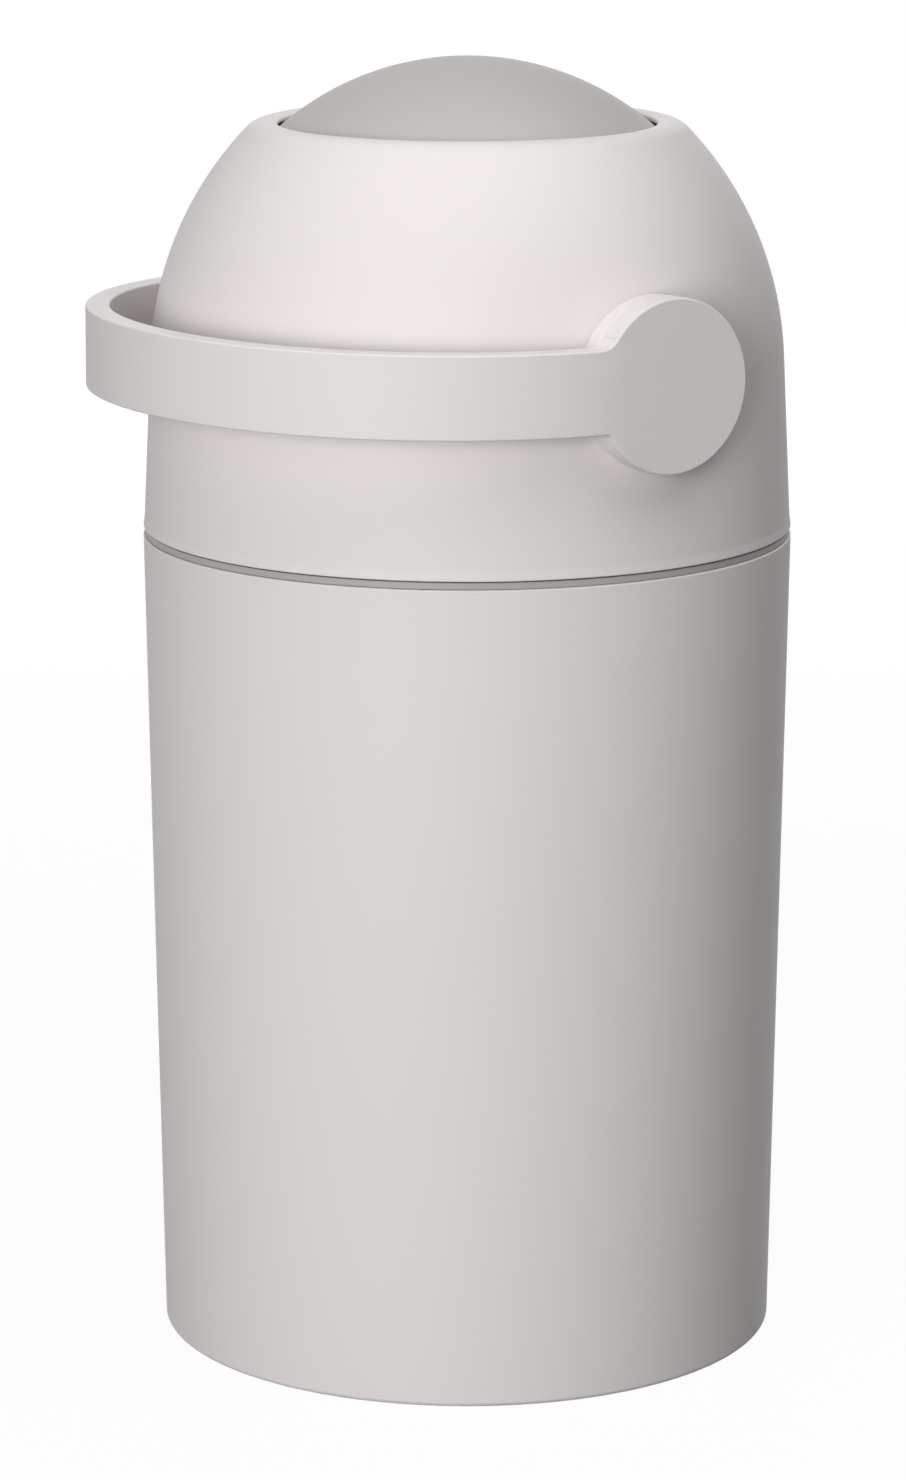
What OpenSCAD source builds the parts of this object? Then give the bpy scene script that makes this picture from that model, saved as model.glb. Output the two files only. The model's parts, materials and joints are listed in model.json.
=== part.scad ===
// Nappy bin: a tapered bin, a bag ring, a lift-off head, and a ball with a nappy pocket
// that a loop handle turns over. At rest the ball's closed side is up and its mouth is down.
// Origin: centre of the standing ring, +Z up, handle axle along X, handle resting towards -Y.

/* [Bin] */
// Height of the bin's top edge
bin_h = 348.2; // [280:0.1:420]
// Outer radius at the top edge
bin_top_r = 138; // [130:0.1:150]
// How much narrower the foot is, on the radius
bin_taper = 5.8; // [2:0.1:12]
// Wall thickness
bin_wall = 2.8; // [2.2:0.1:3.4]
// Height of the floor's underside over the standing ring
floor_up = 6; // [4:0.1:12]
// Floor thickness
floor_t = 3; // [2:0.1:5]
// Stiffening ribs under the floor
floor_ribs = 8; // [4:1:12]
// Thickness of those ribs
rib_t = 2; // [1.2:0.1:3]
// Rounding of the foot's outer edge
foot_round = 2.2; // [1:0.1:2.2]
// Rounding of the top outer edge
top_round = 1; // [0.5:0.1:1.5]
// Rounding inside, where wall meets floor
inner_round = 8; // [3:0.5:16]

/* [Bag ring] */
// Height of the band that shows between bin and head
band_h = 3.1; // [2.4:0.1:9]
// How far the band stands back from the bin's edge
band_in = 0.8; // [0.2:0.1:1.6]
// Depth of the skirt that plugs into the bin
skirt_h = 16; // [10:0.5:30]
// Thickness of that skirt
skirt_t = 2.2; // [1.6:0.1:3]
// Gap between skirt and bin, where the bag's edge is held
bag_gap = 0.5; // [0.4:0.1:1]
// Width of the shelf inside the skirt that carries the head
shelf_w = 4; // [3:0.1:6]

/* [Head] */
// How far the head's lower edge stands in from the bin's edge
head_in = 0.4; // [0:0.1:1]
// Wall thickness of the head
head_wall = 2.4; // [2:0.1:3]
// Height of the straight side
side_h = 72.8; // [66:0.1:90]
// Draft of the straight side, in degrees
draft = 2.66; // [1:0.02:3.2]
// How far the crown's arc is centred beyond the axis
crown_off = 12.1; // [8:0.1:16]
// Slope angle at which the crown turns into the rim, in degrees
crown_end = 44.1; // [41:0.1:47]
// Radius of the rounded shoulder at the rim
shoulder_r = 11; // [8:0.1:13]
// Width of the rim inside its rounded shoulder
rim_w = 4.1; // [2:0.1:5]
// How far the rim slopes down inwards, in degrees
rim_dip = 10; // [0:0.5:12]
// Depth of the neck below the head's floor plate
neck_h = 16.6; // [10:0.1:26]
// Thickness of the neck
neck_t = 2.2; // [1.6:0.1:3]
// Gap between neck and bag ring
neck_fit = 0.6; // [0.4:0.1:1.2]
// Thickness of the head's floor plate
plate_t = 2.6; // [2:0.1:4]
// Thickness of the sealing ring under the plate
gasket_t = 1.1; // [0.8:0.1:2]
// Screws that hold the floor plate
plate_screws = 6; // [4:2:8]

/* [Ball] */
// Gap between the ball and the head's wall beside it
ball_gap = 10.6; // [9.5:0.1:12]
// Height of the axle over the centre of the crown's arc
axle_up = 10.7; // [8:0.1:13]
// Wall thickness of the ball
ball_wall = 3; // [2:0.1:4]
// How far the pocket's mouth is smaller than the rim
mouth_in = 10; // [8:0.1:20]
// Depth of the pocket
pocket_d = 158; // [110:1:168]
// Wall thickness of the pocket
pocket_t = 2.2; // [1.6:0.1:3]
// How far the pocket narrows to its floor
pocket_taper = 5; // [0:0.5:12]
// Rounding inside the pocket, where wall meets floor
pocket_round = 14; // [6:0.5:24]
// Gap between a seal's lip and the ball
lip_gap = 0.3; // [0.2:0.05:0.6]

/* [Axle] */
// Radius of the spindle's journal
journal_r = 12; // [9:0.1:13]
// Radial running clearance in the bush
run_fit = 0.05; // [0.02:0.01:0.1]
// Wall thickness of the bush
bush_t = 2.9; // [2:0.1:4]
// Thickness of the bush's flange
flange_t = 2.5; // [1.5:0.1:3]
// Thickness of the friction washer
washer_t = 1.5; // [1:0.1:2]
// Length of the hexagon that drives the ball
hex_l = 6.5; // [5:0.1:7]

/* [Handle] */
// Radius of the handle's round ends
hub_r = 35.9; // [32:0.1:38]
// Thickness of the handle's round ends
hub_t = 11.1; // [10.8:0.1:16]
// How far the pads under the round ends stand out from the side
pad_out = 0.48; // [0.2:0.02:2]
// Height of the band
grip_h = 33.4; // [20:0.1:44]
// Thickness of the band
grip_t = 10.1; // [7:0.1:12]
// Finger gap between band and head at the front
finger_gap = 16.5; // [12:0.1:30]
// Straight length of each arm beyond the axle
arm_l = 22.7; // [10:0.1:30]
// Sweep of each arm's arc, in degrees
arm_sweep = 70.6; // [60:0.1:75]
// Rounding of the band's edges
grip_round = 0.9; // [0.6:0.1:3]
// Fillet between band and round end, above
hub_fillet = 9; // [2:0.1:12]
// Fillet between band and round end, below
hub_fold = 2; // [1:0.1:8]
// How far the loop stands above level at rest, in degrees
rise = 0.56; // [0:0.02:3]
// Turn from stop to stop, in degrees
turn = 180; // [150:1:180]

/* [Hidden] */
$fn = 96;
seat = 0.1;      // resting gap between faces that part
free = 0.3;      // gap beside anything that moves
snug = 0.1;      // gap beside pieces that are fastened together
screw_r = 1.6;   // small screws
head_r = 3.6;
head_t = 2.4;
hole_fit = 0.06;
bolt_r = 2;      // the two axle screws
bolt_head_r = 4;
far = 400;       // beyond everything

shell_tone = [0.88, 0.87, 0.85];
ball_tone = [0.72, 0.71, 0.69];
ring_tone = [0.67, 0.66, 0.64];
seal_tone = [0.2, 0.2, 0.2];
inner_tone = [0.8, 0.79, 0.77];
steel_tone = [0.6, 0.6, 0.62];

// bin wall
bin_foot_r = bin_top_r - bin_taper;
lean = atan((bin_top_r - bin_foot_r) / bin_h);
function bin_r(z) = bin_foot_r + z * tan(lean);
function bin_in_r(z) = bin_r(z) - bin_wall / cos(lean);
floor_z = floor_up + floor_t;

// bag ring
ring_z = bin_h + seat;
band_top = ring_z + band_h;
skirt_z = ring_z - skirt_h;
skirt_r = bin_in_r(skirt_z) - bag_gap;
shelf_r = skirt_r - skirt_t - shelf_w;

// head, from its lower edge up
gasket_z = band_top + seat;
plate_z = gasket_z + gasket_t;
head_z = band_top + free;
head_r0 = bin_top_r - head_in;
side_r = head_r0 - side_h * tan(draft);
crown_r = (side_r + crown_off) / cos(draft);
crown_z = head_z + side_h - crown_r * sin(draft);
shoulder_x = -crown_off + (crown_r - shoulder_r) * cos(crown_end);
shoulder_z = crown_z + (crown_r - shoulder_r) * sin(crown_end);
rim_z = shoulder_z + shoulder_r;
rim_x = shoulder_x - rim_w;
rim_r = rim_x - head_wall / 2;
rim_mid = rim_line(rim_x, head_wall / 2);
function rim_line(x, inset) = shoulder_z + (shoulder_r - inset) / cos(rim_dip)
    - (shoulder_x - x) * tan(rim_dip);
function side_out(z) = head_r0 - (z - head_z) * tan(draft);
function crown_x(z, inset) = -crown_off + sqrt(pow(crown_r - inset, 2) - pow(z - crown_z, 2));

// neck and plate
neck_r = shelf_r - neck_fit;
neck_z = plate_z - neck_h;
plate_r = side_out(plate_z + plate_t) - head_wall - snug;
screw_ring_r = neck_r - neck_t - head_r - 2.8;
boss_r = screw_r + 2.4;
boss_h = 27;

// ball
axle_z = crown_z + axle_up;
ball_r = crown_x(axle_z, head_wall) - ball_gap;
ball_in = ball_r - ball_wall;
mouth_r = rim_r - mouth_in;
mouth_z = -sqrt(pow(ball_r, 2) - pow(mouth_r, 2));
pocket_r = mouth_r - pocket_taper;
pocket_z = mouth_z + pocket_d;
column_ring_r = pocket_r - 24;
column_r = 5;
split = 0.1;

// seals and collar follow the ball; their elevations are seen from the axle
rim_up = atan2(rim_mid - head_wall / 2 - axle_z, rim_x);
plate_dip = asin((axle_z - plate_z - plate_t / 2) / (ball_r + 2));
function crown_far(a) = let (d = (crown_z - axle_z) * sin(a) - crown_off * cos(a))
    d + sqrt(d * d - pow(crown_off, 2) - pow(axle_up, 2) + pow(crown_r - head_wall, 2));
seal_out = crown_far(rim_up - 8) - free;

// ball screws stand beside the axle, where no seal passes
bscrew_x = mouth_r + 30;
bscrew_y = 38;
bscrew_z = -8;

// axle, from the ball out to the handle
boss_x = ball_r + 1.4;
axle_boss_r = journal_r + 9;
washer_x = boss_x + free;
flange_x = washer_x + washer_t;
seat_x = flange_x + flange_t;
bush_r = journal_r + run_fit + bush_t;
flange_r = bush_r + 4.5;
seat_r = flange_r + 4.5;
pad_x = side_out(axle_z - hub_r) + pad_out;
pad_r = hub_r - free;
hub_x = pad_x + free;
face_x = hub_x + hub_t;
hex_r = journal_r - 1.5;
collar_x = boss_x - 11;
collar_t = 4;
collar_r = journal_r + 6;
collar_flat = collar_r - 4;
bolt_tip = hub_x + hex_l + 2;

// turn stops: a lug on each round end runs in a curved slot of the pad
lug_r0 = seat_r + 2.5;
lug_r1 = hub_r - 4.9;
lug_h = 1.7;
lug_a = 24;
slot_fit = 0.5;
slot_over = 0.4;

// handle's plan: straight arm, arm arc and front arc, each tangent to the next
reach = crown_x(axle_z, 0) + finger_gap + grip_t;
arm_q = (face_x + arm_l - reach) / (1 + tan(arm_sweep) - 1 / cos(arm_sweep));
arm_r = face_x - arm_q;
front_r = arm_r + arm_q / cos(arm_sweep);

// ---------- flat helpers ----------

// pie slice of a circle between two angles
module slice(r, a0, a1) {
    n = ceil((a1 - a0) / 30);
    intersection() {
        circle(r);
        polygon([[0, 0], for (i = [0:n]) let (a = a0 + (a1 - a0) * i / n)
            2 * r * [cos(a), sin(a)]]);
    }
}

// part of a ring between two radii and two angles
module arc_band(r0, r1, a0, a1) {
    difference() {
        slice(r1, a0, a1);
        circle(r0);
    }
}

// rectangle with round corners, from x0 to x1 and y0 to y1
module soft_rect(x0, x1, y0, y1, r) {
    translate([x0 + r, y0]) square([x1 - x0 - 2 * r, y1 - y0]);
    translate([x0, y0 + r]) square([x1 - x0, y1 - y0 - 2 * r]);
    for (x = [x0 + r, x1 - r], y = [y0 + r, y1 - r]) translate([x, y]) circle(r);
}

// disc about the X axis, from x0 to x1
module x_disc(r, x0, x1) {
    translate([x0, 0, 0]) rotate([0, 90, 0]) cylinder(r = r, h = x1 - x0);
}

// copies round the Z axis
module around(n, start = 0) {
    for (i = [0:n - 1]) rotate([0, 0, start + 360 * i / n]) children();
}

// pan-head screw pointing up, with the underside of its head at z = 0
module screw_up(r, hr, ht, l) {
    cylinder(r = r, h = l);
    difference() {
        translate([0, 0, -ht]) {
            cylinder(r = hr, h = ht);
        }
        translate([0, 0, -ht - 1]) cylinder(r = hr * 0.45, h = ht * 0.5 + 1, $fn = 6);
    }
}

// ---------- bin ----------

module bin_profile() {
    cz = bin_h - top_round;
    cr = bin_r(cz) - top_round / cos(lean);
    fr = bin_r(foot_round) - foot_round / cos(lean);
    difference() {
        union() {
            polygon([[0, 0], [fr, 0], [fr, foot_round],
                [fr + foot_round * cos(lean), foot_round - foot_round * sin(lean)],
                [cr + top_round * cos(lean), cz - top_round * sin(lean)],
                [cr, cz], [cr, bin_h], [0, bin_h]]);
            translate([cr, cz]) circle(top_round);
            translate([fr, foot_round]) circle(foot_round);
        }
        // inside, with a round where wall meets floor
        ir = bin_in_r(floor_z + inner_round) - inner_round / cos(lean);
        polygon([[-1, floor_z], [ir, floor_z], [ir, floor_z + inner_round],
            [ir + inner_round * cos(lean), floor_z + inner_round - inner_round * sin(lean)],
            [bin_in_r(bin_h + 1), bin_h + 1], [-1, bin_h + 1]]);
        translate([ir, floor_z + inner_round]) circle(inner_round);
        // recess under the floor
        polygon([[-1, -1], [bin_foot_r - bin_wall - 1.2, -1],
            [bin_foot_r - bin_wall - 2, floor_up], [-1, floor_up]]);
    }
}

module bin_shell() {
    color(shell_tone) {
        rotate_extrude() bin_profile();
        // ribs and a centre ring under the floor
        difference() {
            around(floor_ribs) translate([20, -rib_t / 2, 1.5])
                cube([bin_foot_r - bin_wall - 20, rib_t, floor_up]);
            translate([0, 0, -1]) difference() {
                cylinder(r = bin_foot_r + 20, h = floor_up + 5);
                translate([0, 0, -1]) cylinder(r = bin_foot_r - bin_wall - 0.5, h = floor_up + 8);
            }
        }
        difference() {
            translate([0, 0, 1.5]) cylinder(r = 21, h = floor_up);
            cylinder(r = 21 - rib_t, h = floor_up);
        }
    }
}

// ---------- bag ring ----------

module bag_ring() {
    band_r = bin_top_r - band_in;
    color(ring_tone) rotate_extrude() {
        soft_rect(shelf_r, band_r, ring_z, band_top, 0.8);
        // skirt with a lead-in at its lower edge
        polygon([[skirt_r - skirt_t, ring_z + 1], [skirt_r - skirt_t, skirt_z],
            [skirt_r - 0.8, skirt_z], [skirt_r, skirt_z + 2], [skirt_r, ring_z + 1]]);
    }
}

// ---------- head ----------

// region under the head's outside, drawn in by inset, closed down to z0
module head_region(inset, z0) {
    x1 = -crown_off + (crown_r - inset) * cos(draft);
    z1 = crown_z + (crown_r - inset) * sin(draft);
    x2 = -crown_off + (crown_r - inset) * cos(crown_end);
    z2 = crown_z + (crown_r - inset) * sin(crown_end);
    x3 = shoulder_x - (shoulder_r - inset) * sin(rim_dip);
    polygon([[0, z0], [x1 + (z1 - z0) * tan(draft), z0], [x1, z1], [x2, z2],
        [x3, rim_line(x3, inset)], [0, rim_line(0, inset)]]);
    intersection() {
        translate([-crown_off, crown_z]) circle(crown_r - inset);
        polygon([[0, z1], [far, z1], [far, crown_z + (far + crown_off) * tan(crown_end)],
            [0, crown_z + crown_off * tan(crown_end)]]);
    }
    translate([shoulder_x, shoulder_z]) circle(shoulder_r - inset);
}

module head_profile() {
    lip = 0.4;
    lip_h = 4;
    difference() {
        union() {
            head_region(0, head_z);
            polygon([[head_r0 - 1, head_z], [head_r0 + lip - 0.5, head_z],
                [head_r0 + lip, head_z + 0.5], [side_out(head_z + lip_h), head_z + lip_h],
                [side_out(head_z + lip_h) - 1, head_z + lip_h]]);
        }
        head_region(head_wall, head_z - 1);
        translate([rim_x, rim_mid]) rotate(rim_dip) translate([-far, -far]) square([far, 2 * far]);
    }
    translate([rim_x, rim_mid]) circle(head_wall / 2);
    // bead that holds the rim seal's ring
    translate([0, axle_z]) arc_band(seal_out - 1.3, seal_out + 1.1, rim_up - 16.5, rim_up - 14.8);
}

module head_shell() {
    color(shell_tone) difference() {
        union() {
            difference() {
                union() {
                    rotate_extrude() head_profile();
                    // round pads under the handle's ends
                    for (s = [0, 1]) mirror([s, 0, 0]) difference() {
                        translate([0, 0, axle_z]) x_disc(pad_r, seat_x - 8, pad_x);
                        rotate_extrude() head_region(head_wall, head_z - 1);
                    }
                }
            }
            // seats for the bushes
            for (s = [0, 1]) mirror([s, 0, 0]) translate([0, 0, axle_z])
                x_disc(seat_r, seat_x, pad_x - 2.6);
            // screw bosses, each with a web to the wall
            around(plate_screws, 30) intersection() {
                translate([0, 0, plate_z + plate_t + snug]) {
                    translate([screw_ring_r, 0, 0]) cylinder(r = boss_r, h = boss_h);
                    translate([screw_ring_r, -1.2, 1])
                        cube([head_r0 - screw_ring_r, 2.4, boss_h - 4]);
                }
                translate([0, 0, plate_z])
                    cylinder(r = side_out(plate_z + boss_h) - head_wall / 3, h = boss_h + 20);
            }
        }
        // bores for the bushes and slots for the stop lugs
        for (s = [0, 1]) mirror([s, 0, 0]) translate([0, 0, axle_z]) {
            x_disc(bush_r + 0.03, seat_x - 1, pad_x + 1);
            translate([pad_x - lug_h - slot_over, 0, 0]) turn_arc(lug_r0 - slot_fit,
                lug_r1 + slot_fit, lug_h + slot_over + 1, -lug_a / 2 - 0.4, turn + lug_a / 2 + 0.4);
        }
        around(plate_screws, 30) translate([screw_ring_r, 0, plate_z])
            cylinder(r = screw_r + hole_fit, h = boss_h - 4);
    }
}

// arc about the X axis, h deep towards +X, measured from -Z towards -Y
module turn_arc(r0, r1, h, a0, a1) {
    rotate([0, 90, 0]) rotate([0, 0, -a1]) rotate_extrude(angle = a1 - a0)
        translate([r0, 0]) square([r1 - r0, h]);
}

module head_plate() {
    color(inner_tone) difference() {
        rotate_extrude() {
            difference() {
                translate([0, plate_z]) square([plate_r, plate_t]);
                translate([0, axle_z]) circle(ball_r + 1.4);
            }
            // neck with a lead-in
            polygon([[neck_r - neck_t, plate_z + 1], [neck_r - neck_t, neck_z],
                [neck_r - 1, neck_z], [neck_r, neck_z + 3], [neck_r, plate_z + 1]]);
            // collar that follows the ball
            translate([0, axle_z]) arc_band(ball_r + 1, ball_r + 3.2, -plate_dip - 11.2,
                -plate_dip + 10.8);
        }
        around(plate_screws, 30) translate([screw_ring_r, 0, plate_z - 1])
            cylinder(r = screw_r + 0.15, h = plate_t + 2);
    }
}

module plate_screws() {
    color(steel_tone) around(plate_screws, 30)
        translate([screw_ring_r, 0, plate_z]) screw_up(screw_r, head_r, head_t, plate_t + 16);
}

module neck_gasket() {
    color(seal_tone) rotate_extrude()
        soft_rect(shelf_r + 0.4, plate_r - 0.4, gasket_z, plate_z, 0.3);
}

module rim_seal() {
    color(seal_tone) rotate_extrude() translate([0, axle_z]) {
        arc_band(seal_out - 2.4, seal_out, rim_up - 12.2, rim_up - 4);
        arc_band(ball_r + lip_gap, seal_out, rim_up - 5.9, rim_up - 4);
    }
}

module rim_seal_ring() {
    color(inner_tone) rotate_extrude() translate([0, axle_z])
        arc_band(ball_r + 1.2, seal_out - 0.1, rim_up - 14.6, rim_up - 12.3);
}

module plate_seal() {
    color(seal_tone) rotate_extrude() translate([0, axle_z]) {
        arc_band(ball_r + lip_gap, ball_r + 4.6, -plate_dip - 14.2, -plate_dip - 11.3);
        arc_band(ball_r + 3.25, ball_r + 4.6, -plate_dip - 14.2, -plate_dip - 6.7);
    }
}

// ---------- bushes and washers ----------

module bush() {
    color(inner_tone) translate([0, 0, axle_z]) difference() {
        union() {
            x_disc(flange_r, flange_x, seat_x);
            x_disc(bush_r, flange_x + 1, pad_x);
        }
        x_disc(journal_r + run_fit, flange_x - 1, pad_x + 1);
    }
}

module washer() {
    color(seal_tone) translate([0, 0, axle_z]) difference() {
        x_disc(flange_r, washer_x, flange_x);
        x_disc(journal_r + run_fit + 0.25, washer_x - 1, flange_x + 1);
    }
}

module right_bush() { bush(); }
module left_bush() { mirror([1, 0, 0]) bush(); }
module right_washer() { washer(); }
module left_washer() { mirror([1, 0, 0]) washer(); }

// ---------- ball ----------

// upper or lower half space beside the ball's parting plane
module half(up) {
    translate([-far / 2, -far / 2, up ? 0 : -far / 2 - split]) cube([far, far, far / 2]);
}

// boss that holds a spindle, halved with the ball
module axle_boss(up) {
    for (s = [0, 1]) mirror([s, 0, 0]) intersection() {
        x_disc(axle_boss_r, collar_x - 4.5, boss_x);
        half(up);
    }
}

module axle_socket() {
    for (s = [0, 1]) mirror([s, 0, 0]) {
        x_disc(journal_r + snug, collar_x, boss_x + 1);
        x_disc(journal_r - 3, collar_x - 6, collar_x + 1);
        intersection() {
            x_disc(collar_r + snug, collar_x - snug, collar_x + collar_t + snug);
            translate([collar_x - 1, -far / 2, -collar_flat - snug])
                cube([collar_t + 2, far, 2 * (collar_flat + snug)]);
        }
    }
}

// places of the four ball screws
module ball_screw_spots() {
    for (x = [-bscrew_x, bscrew_x], y = [-bscrew_y, bscrew_y]) translate([x, y, 0]) children();
}

module ball_dome() {
    color(ball_tone) translate([0, 0, axle_z]) difference() {
        union() {
            intersection() {
                difference() {
                    sphere(ball_r);
                    sphere(ball_in);
                }
                half(true);
            }
            axle_boss(true);
            // screw bosses up to the wall
            intersection() {
                union() {
                    ball_screw_spots() cylinder(r = 5.5, h = ball_r);
                    around(3, 90) translate([column_ring_r, 0, pocket_z + pocket_t + snug])
                        cylinder(r = column_r, h = ball_r);
                }
                sphere(ball_in + 1);
            }
            // tongue that lines the two halves up
            intersection() {
                difference() {
                    union() {
                        translate([0, 0, -4]) cylinder(r = ball_in - 0.25, h = 9);
                        cylinder(r = ball_in + 1, h = 5);
                    }
                    translate([0, 0, -5]) cylinder(r = ball_in - 2.2, h = 12);
                }
                translate([-mouth_r - 16, -far / 2, -10]) cube([2 * mouth_r + 32, far, 20]);
            }
        }
        axle_socket();
        ball_screw_spots() translate([0, 0, -1]) cylinder(r = screw_r + hole_fit, h = 15);
        around(3, 90) translate([column_ring_r, 0, pocket_z])
            cylinder(r = screw_r + hole_fit, h = pocket_t + 16);
    }
}

module ball_bowl() {
    color(ball_tone) translate([0, 0, axle_z]) difference() {
        union() {
            intersection() {
                difference() {
                    sphere(ball_r);
                    sphere(ball_in);
                }
                half(false);
            }
            axle_boss(false);
            intersection() {
                ball_screw_spots() translate([0, 0, -ball_r - split]) cylinder(r = 5.5, h = ball_r);
                sphere(ball_r - 0.3);
            }
        }
        axle_socket();
        ball_screw_spots() {
            translate([0, 0, -ball_r]) cylinder(r = head_r + 0.4, h = ball_r + bscrew_z);
            translate([0, 0, bscrew_z - 1]) cylinder(r = screw_r + 0.15, h = 12);
        }
        // mouth, where the pocket's rim comes through
        translate([0, 0, -ball_r - 1]) cylinder(r = mouth_r + pocket_t + snug, h = ball_r);
    }
}

module pocket_profile() {
    tilt = atan(pocket_taper / pocket_d);
    nose = pocket_t / 2;
    // inside radius at height z over the mouth plane's edge
    function in_r(z) = mouth_r - (z - mouth_z) * tan(tilt);
    top = pocket_z + pocket_t;
    mid = -sqrt(pow(ball_r - nose, 2) - pow(mouth_r + nose, 2));
    fr = pocket_round;
    cr = in_r(pocket_z - fr) - fr / cos(tilt);
    difference() {
        union() {
            polygon([[0, top], [cr, top], [cr, pocket_z - fr],
                [cr + (fr + pocket_t) * cos(tilt), pocket_z - fr + (fr + pocket_t) * sin(tilt)],
                [in_r(mid) + pocket_t / cos(tilt), mid], [0, mid]]);
            translate([cr, pocket_z - fr]) circle(fr + pocket_t);
        }
        polygon([[-1, pocket_z], [cr, pocket_z], [cr, pocket_z - fr],
            [cr + fr * cos(tilt), pocket_z - fr + fr * sin(tilt)],
            [in_r(mid - 5), mid - 5], [-1, mid - 5]]);
        translate([cr, pocket_z - fr]) circle(fr);
    }
    translate([in_r(mid) + nose, mid]) circle(nose * cos(tilt) - 0.01);
}

module nappy_pocket() {
    color(inner_tone) translate([0, 0, axle_z]) difference() {
        union() {
            rotate_extrude() pocket_profile();
            // flange that seats inside the bowl round its mouth
            rotate_extrude() arc_band(ball_in - snug - 2, ball_in - snug,
                -acos((mouth_r + pocket_t / 2) / (ball_in - snug - 2)),
                -acos((mouth_r + 12) / ball_in));
        }
        around(3, 90) translate([column_ring_r, 0, pocket_z - 1])
            cylinder(r = screw_r + 0.15, h = pocket_t + 2);
    }
}

module ball_screws() {
    color(steel_tone) translate([0, 0, axle_z + bscrew_z]) ball_screw_spots()
        screw_up(screw_r, head_r, head_t, 20);
}

module pocket_screws() {
    color(steel_tone) translate([0, 0, axle_z + pocket_z]) around(3, 90)
        translate([column_ring_r, 0, 0]) screw_up(screw_r, head_r, head_t, pocket_t + 13);
}

// ---------- spindles ----------

module spindle() {
    color(steel_tone) translate([0, 0, axle_z]) difference() {
        union() {
            intersection() {
                x_disc(collar_r, collar_x, collar_x + collar_t);
                translate([collar_x - 1, -far / 2, -collar_flat])
                    cube([collar_t + 2, far, 2 * collar_flat]);
            }
            x_disc(journal_r, collar_x + 1, hub_x - 0.05);
            translate([hub_x - 1, 0, 0]) rotate([0, 90, 0])
                cylinder(r = hex_r, h = hex_l + 1, $fn = 6);
        }
        x_disc(bolt_r + 0.1, collar_x - 1, face_x);
        x_disc(bolt_head_r + 0.3, collar_x - 1, collar_x + 6);
    }
}

module right_spindle() { spindle(); }
module left_spindle() { mirror([1, 0, 0]) spindle(); }

module spindle_screws() {
    color(steel_tone) for (s = [0, 1]) mirror([s, 0, 0]) translate([collar_x + 6, 0, axle_z])
        rotate([0, 90, 0]) screw_up(bolt_r, bolt_head_r, 3, bolt_tip - collar_x - 6);
}

// ---------- handle ----------

// the band's section, ending at radius r, with over added all round so that arcs overlap cleanly
module grip_section(r, over = 0) {
    soft_rect(r - grip_t - over, r + over, -grip_h / 2 - over, grip_h / 2 + over, grip_round);
}

// round end with its fillets to the band
module hub() {
    intersection() {
        rotate([0, 90, 0]) translate([0, 0, hub_x]) rotate_extrude() {
            square([hub_r - grip_round, hub_t]);
            square([hub_r, hub_t - grip_round]);
            translate([hub_r - grip_round, hub_t - grip_round]) circle(grip_round);
        }
        // its face follows the arm's curve
        union() {
            translate([hub_x - 1, -far / 2, -far / 2]) cube([hub_t + 4, far / 2 + arm_l, far]);
            translate([arm_q, arm_l, -far / 2]) cylinder(r = arm_r, h = far);
        }
    }
    // fillets, in the plane across the axle
    for (m = [0, 1]) mirror([0, 0, m]) {
        f = m == 0 ? hub_fillet : hub_fold;
        fz = grip_h / 2 + f;
        fy = sqrt(pow(hub_r + f, 2) - pow(fz, 2));
        k = hub_r / (hub_r + f);
        translate([face_x - grip_t + 1, 0, 0]) rotate([90, 0, 90])
            linear_extrude(height = grip_t - 2) difference() {
                polygon([[fy, fz - f - 1], [fy, fz], [fy * k, fz * k],
                    [fy * k - 3, fz * k - 3], [fy * k - 3, fz - f - 1]]);
                translate([fy, fz]) circle(f);
            }
    }
}

module handle() {
    color(shell_tone) translate([0, 0, axle_z]) mirror([0, 1, 0]) difference() {
        union() {
            rotate([rise, 0, 0]) for (s = [0, 1]) mirror([s, 0, 0]) {
                hub();
                translate([0, arm_l, 0]) rotate([90, 0, 0])
                    linear_extrude(height = arm_l) grip_section(face_x);
                translate([arm_q, arm_l, 0]) rotate_extrude(angle = arm_sweep + 0.1)
                    grip_section(arm_r);
                translate([0, reach - front_r, 0]) rotate([0, 0, 90])
                    rotate_extrude(angle = 90 - arm_sweep) grip_section(front_r, 0.01);
            }
            // stop lugs
            for (s = [0, 1]) mirror([s, 0, 0]) translate([hub_x - lug_h, 0, 0])
                mirror([0, 1, 0]) turn_arc(lug_r0, lug_r1, lug_h + 1, -lug_a / 2, lug_a / 2);
        }
        for (s = [0, 1]) mirror([s, 0, 0]) {
            translate([hub_x - 1, 0, 0]) rotate([0, 90, 0])
                cylinder(r = hex_r + snug, h = hex_l + 1 + snug, $fn = 6);
            x_disc(bolt_r + hole_fit, hub_x, bolt_tip + 0.5);
        }
    }
}

bin_shell();
bag_ring();
head_shell();
head_plate();
plate_screws();
neck_gasket();
rim_seal();
rim_seal_ring();
plate_seal();
left_bush();
right_bush();
left_washer();
right_washer();
ball_dome();
ball_bowl();
nappy_pocket();
ball_screws();
pocket_screws();
left_spindle();
right_spindle();
spindle_screws();
handle();
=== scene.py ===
import json
import math

import bmesh
import bpy
from mathutils import Matrix, Vector


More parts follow.
